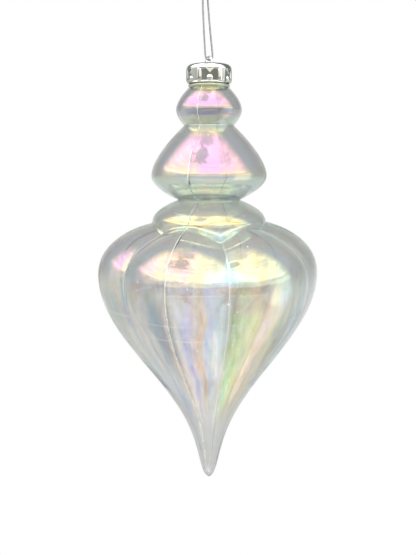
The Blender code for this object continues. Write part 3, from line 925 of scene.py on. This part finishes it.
def half_mesh(name, start):
    """One closed half: the coated outside, the inside, the neck's rim and the two seam faces."""
    bm = bmesh.new()
    columns = half_columns(start)
    shortest = min(len(inner) for _, inner, _ in columns)
    tip = bm.verts.new(columns[0][0][-1])
    pit = bm.verts.new(Vector((0.0, 0.0, min(inner[-1].z for _, inner, _ in columns))))
    outside = [[bm.verts.new(point) for point in outer[:-1]] + [tip] for outer, _, _ in columns]
    inside = [[bm.verts.new(point) for point in inner[: shortest - 1]] + [pit] for _, inner, _ in columns]
    welded = [weld for _, _, weld in columns]
    surface_faces(bm, outside, welded, False, COATED_SLOT)
    surface_faces(bm, inside, welded, True, INSIDE_SLOT)
    for index in range(len(columns) - 1):
        rim = (outside[index][0], outside[index + 1][0], inside[index + 1][0], inside[index][0])
        bm.faces.new(rim).material_index = INSIDE_SLOT
    for outer, inner in ((outside[0], inside[0]), (outside[-1], inside[-1])):
        seam = bm.faces.new([*outer, *reversed(inner)])
        seam.material_index = BOND_SLOT
        for edge in seam.edges:
            edge.smooth = False
    seams = [face for face in bm.faces if len(face.verts) > 4]
    bmesh.ops.triangulate(bm, faces=seams, ngon_method="EAR_CLIP")
    bmesh.ops.recalc_face_normals(bm, faces=bm.faces)
    if bm.calc_volume(signed=True) < 0:
        bmesh.ops.reverse_faces(bm, faces=bm.faces)
    away = at_azimuth(SEAM_GAP / 2, start + math.pi / 2)
    bmesh.ops.translate(bm, vec=away, verts=bm.verts)
    mesh = bpy.data.meshes.new(name)
    bm.to_mesh(mesh)
    bm.free()
    return mesh


def add_turned(bm, section, segments, middle=(0.0, 0.0)):
    """Faces turned from a section of (radius, drop), about the vertical through middle."""
    rings = []
    for radius, drop in section:
        count = 1 if radius < 1e-9 else segments
        centre = Vector((*middle, CAP_TOP_Z - drop))
        turns = [2 * math.pi * index / count for index in range(count)]
        rings.append([bm.verts.new(centre + at_azimuth(radius, turn)) for turn in turns])
    for ring, following in zip(rings, rings[1:]):
        for index in range(segments):
            after = (index + 1) % segments
            corners = [ring[index % len(ring)], ring[after % len(ring)]]
            corners += [following[after % len(following)], following[index % len(following)]]
            corners = [v for place, v in enumerate(corners) if v not in corners[:place]]
            bm.faces.new(corners)
    return rings


def neck_mesh(name):
    """The neck ring: down its outside and rounded collar, and back up the bore."""
    outside = filleted([(radius * MM, drop * MM) for radius, drop in subdivided(COLLAR)])
    bottom = COLLAR[-1][1] * MM - NECK_GAP
    section = [(NECK_R - 0.25 * MM, NECK_TOP), (NECK_R, NECK_TOP + 0.25 * MM), *outside[:-1]]
    section += [(COLLAR[-1][0] * MM, bottom), (MOUTH_R, bottom), (BORE_R, COLLAR[0][1] * MM)]
    section += [(BORE_R, NECK_TOP + 0.2 * MM), (BORE_R + 0.2 * MM, NECK_TOP)]
    bm = bmesh.new()
    add_turned(bm, [*section, section[0]], NECK_SEGMENTS)
    bmesh.ops.remove_doubles(bm, verts=bm.verts, dist=1e-7)
    return mesh_from(bm, name)


def subdivided(rows):
    """The rows with a point added halfway along each stretch."""
    between = [tuple((a + b) / 2 for a, b in zip(row, after)) for row, after in zip(rows, rows[1:])]
    return [row for pair in zip(rows, between) for row in pair] + [rows[-1]]


def make_shells():
    coated = shell_material("coated_plastic", True)
    inner = shell_material("plastic_inside", False)
    neck_plastic = shell_material("neck_plastic", True, NECK_CLARITY, NECK_PLASTIC)
    neck = add_object("finial_neck", neck_mesh("finial_neck"), neck_plastic)
    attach(neck, "finial")
    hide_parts("neck_ring")
    weld = weld_and_highlight_material()
    bond = bond_material()
    halves = (("finial_right", "shell_half_right", 0.0), ("finial_left", "shell_half_left", math.pi))
    for name, node, turn in halves:
        half = add_object(name, half_mesh(name, SEAM_AZIMUTH + turn), coated, inner, weld, bond)
        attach(half, "finial")
        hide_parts(node)


# Studio


def towards(azimuth, elevation):
    """The unit direction at these degrees, turning from the front towards +X and up from the horizon."""
    across, up = math.radians(azimuth), math.radians(elevation)
    return (math.cos(up) * math.sin(across), -math.cos(up) * math.cos(across), math.sin(up))


# Surroundings: "up" is the sine of the elevation, and "front" is 1 towards the camera and -1 away from it.
SOFTBOX_AZIMUTH = -13.0
SOFTBOX_LOWER_EDGE = (0.17, 0.37)
SOFTBOX_BACK_EDGE = (-0.34, 0.14)
SOFTBOX_LIGHT = (3.1, 3.8)  # at its lower edge and overhead
# What stands in front of the softbox: azimuth, elevation and radius in degrees, and how much light it takes.
FLAGS = (
    (-30.0, 62.0, 13.0, 0.8),
    (-75.0, 84.0, 12.0, 0.6),
    (-8.0, 57.0, 4.0, 0.45),
    (50.0, 56.0, 12.0, 0.45),
)
# Lit side panels: azimuths of the two edges in degrees, the sine of the lowest elevation, and the light.
PANELS = ((46.0, 98.0, -0.70, 0.32), (-112.0, -62.0, -0.20, 0.16))
PANEL_FADES = (12.0, 16.0)  # degrees over which a panel's two edges fade
SIDE_WALLS = ((0.60, 0.62, 0.60), (0.16, 0.18, 0.18))  # low and high
BACK_WALLS = ((0.86, 0.87, 0.86), (0.60, 0.63, 0.62))
FLOOR_LIGHT = (0.66, 0.66, 0.64)
DARK_BAND = (0.21, 0.22, 0.20)  # low in front, behind the camera
PALE_LINE = (0.90, 0.86, 0.74)  # a thin bright edge across the dark band
PALE_SILL = (1.05, 1.03, 0.96)  # between the dark band and the softbox
POST = [math.radians(angle) for angle in (-52.0, -49.0, -40.0, -37.0)]  # a dark upright beside the camera
POST_COLOUR = (0.12, 0.07, 0.04)


def room_fields(graph):
    """Values over all directions that the surroundings share, as a dictionary of sockets."""
    direction = graph.node("ShaderNodeTexCoord").outputs["Generated"]
    split = graph.node("ShaderNodeSeparateXYZ", {"Vector": direction}).outputs
    up = split["Z"]
    front = graph.math("MULTIPLY", split["Y"], -1.0)
    path = graph.node("ShaderNodeLightPath").outputs
    # Light that comes through the shell finds the same walls in front as behind, so no view of it is dark.
    mirrored = graph.math("MULTIPLY", graph.math("ABSOLUTE", front), -1.0)
    shift = graph.math("MULTIPLY", graph.math("SUBTRACT", mirrored, front), path["Is Transmission Ray"])
    return {
        "direction": direction,
        "up": up,
        "front": front,
        "bearing": graph.math("ARCTAN2", split["X"], front),
        "opposite": graph.math("ADD", front, shift),
        "uneven": jittered(graph, up, graph.noise(direction, 4.5, 2.0), 0.24),
        "wobbly": jittered(graph, up, graph.noise(direction, 6.0, 2.0), 0.16),
        "seen": path["Is Camera Ray"],
    }


def stretched(graph, direction, scale):
    return graph.node("ShaderNodeVectorMath", {0: direction, 1: scale}, operation="MULTIPLY").outputs[0]


def softbox(graph, room):
    """How brightly each direction is lit: the softbox with its flags, and the side panels."""
    direction, up = room["direction"], room["up"]
    sockets = {0: direction, 1: towards(SOFTBOX_AZIMUTH, 0.0)}
    facing = graph.node("ShaderNodeVectorMath", sockets, operation="DOT_PRODUCT").outputs["Value"]
    facing = graph.math("MULTIPLY_ADD", up, -0.06, facing)
    lower_edge = graph.step(room["uneven"], *SOFTBOX_LOWER_EDGE)
    box = graph.math("MULTIPLY", lower_edge, graph.step(facing, *SOFTBOX_BACK_EDGE))
    layers = graph.noise(stretched(graph, direction, (1.6, 1.6, 17.0)), 1.0, 3.0)
    box = graph.math("MULTIPLY", box, graph.step(layers, 0.36, 0.64, 0.68, 1.12))
    ragged = graph.noise(direction, 11.0, 3.0)
    for azimuth, elevation, radius, share in FLAGS:
        sockets = {0: direction, 1: towards(azimuth, elevation)}
        away = graph.node("ShaderNodeVectorMath", sockets, operation="DISTANCE").outputs["Value"]
        away = jittered(graph, away, ragged, 0.40)
        size = math.radians(radius)
        flag = graph.step(away, 0.6 * size, 1.25 * size, 1.0 - share, 1.0)
        box = graph.math("MULTIPLY", box, flag)
    for start, end, lowest, light in PANELS:
        edges = (start, start + PANEL_FADES[0], end - PANEL_FADES[1], end)
        panel = graph.window(room["bearing"], *(math.radians(angle) for angle in edges))
        panel = graph.math("MULTIPLY", panel, graph.step(room["uneven"], lowest, lowest + 0.4, 0.0, light))
        panel = graph.math("MULTIPLY", panel, graph.step(up, 0.25, 0.5, 1.0, 0.0))
        box = graph.math("MAXIMUM", box, panel)
    return box


def room_walls(graph, room):
    """The colour of the walls and of what stands before them, where no lamp is."""
    up = room["up"]
    high = graph.step(up, -0.32, 0.15)
    back = graph.step(room["opposite"], -0.98, -0.6, 1.0, 0.0)
    walls = graph.mix(back, graph.mix(high, *SIDE_WALLS), graph.mix(high, *BACK_WALLS))
    walls = graph.mix(graph.step(up, -0.75, -0.25, 1.0, 0.0), walls, FLOOR_LIGHT)
    band_top = graph.step(room["wobbly"], -0.07, 0.10, 1.0, 0.0)
    band = graph.math("MULTIPLY", graph.step(up, -0.42, -0.12), band_top)
    band = graph.math("MULTIPLY", band, graph.step(room["opposite"], 0.45, 0.85))
    walls = graph.mix(band, walls, DARK_BAND)
    line = graph.window(up, -0.27, -0.25, -0.23, -0.21)
    line = graph.math("MULTIPLY", line, graph.step(room["front"], 0.6, 0.9))
    walls = graph.mix(line, walls, PALE_LINE)
    sill_top = graph.step(up, 0.20, 0.26, 1.0, 0.0)
    sill = graph.math("MULTIPLY", graph.step(room["wobbly"], 0.06, 0.12), sill_top)
    sill = graph.math("MULTIPLY", sill, graph.step(room["front"], -0.15, 0.1))
    sill = graph.math("MULTIPLY", sill, graph.step(room["bearing"], POST[0], POST[1], 0.4, 1.0))
    return graph.mix(sill, walls, PALE_SILL)


def make_world():
    """White for the camera. The shell reflects a softbox above the camera and the walls of a pale room."""
    world = bpy.data.worlds.new("studio")
    bpy.context.scene.world = world
    world.use_nodes = True
    graph = Graph(world.node_tree)
    room = room_fields(graph)
    glow = graph.grey(graph.step(room["up"], 0.30, 0.85, *SOFTBOX_LIGHT))
    lit = graph.mix(softbox(graph, room), room_walls(graph, room), glow)
    post = graph.window(room["bearing"], *POST)
    post = graph.math("MULTIPLY", post, graph.window(room["up"], 0.0, 0.06, 0.20, 0.27))
    lit = graph.mix(graph.math("MULTIPLY", post, 0.9), lit, POST_COLOUR)
    colour = graph.mix(room["seen"], lit, WHITE)
    background = graph.node("ShaderNodeBackground", {"Color": colour, "Strength": 1.0})
    graph.node("ShaderNodeOutputWorld", {"Surface": background.outputs["Background"]})


def make_floor():
    """A pale disc below the tip, left out of reflections, where its edge would draw a line."""
    bm = bmesh.new()
    bmesh.ops.create_circle(bm, cap_ends=True, segments=96, radius=FLOOR_R)
    floor_z = CAP_TOP_Z - TIP_DROP - FLOOR_BELOW_TIP
    bmesh.ops.translate(bm, vec=(0.0, 0.0, floor_z), verts=bm.verts)
    material, graph = new_material("pale_floor")
    diffuse = graph.node("ShaderNodeBsdfDiffuse", {"Color": (0.72, 0.73, 0.72)})
    glow = graph.node("ShaderNodeEmission", {"Color": WHITE, "Strength": 1.0})
    seen = graph.node("ShaderNodeLightPath").outputs["Is Camera Ray"]
    mixed = graph.node("ShaderNodeMixShader", {0: seen, 1: diffuse.outputs[0], 2: glow.outputs[0]})
    graph.node("ShaderNodeOutputMaterial", {"Surface": mixed.outputs[0]})
    floor = add_object("floor", mesh_from(bm, "floor"), material)
    floor.visible_glossy = False
    floor.visible_transmission = False


def main():
    make_camera()
    silver = thread_material()
    thread, route = make_thread(silver)
    knot = make_knot(silver)
    for piece, node in ((thread, "thread_loop"), (knot, "thread_knot")):
        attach(piece, "hanging_thread")
        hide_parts(node)
    make_shells()
    make_cap()
    make_world()
    make_floor()
    scene = bpy.context.scene
    scene.view_settings.view_transform = "Standard"
    scene.cycles.transmission_bounces = 20
    scene.cycles.max_bounces = 24


main()
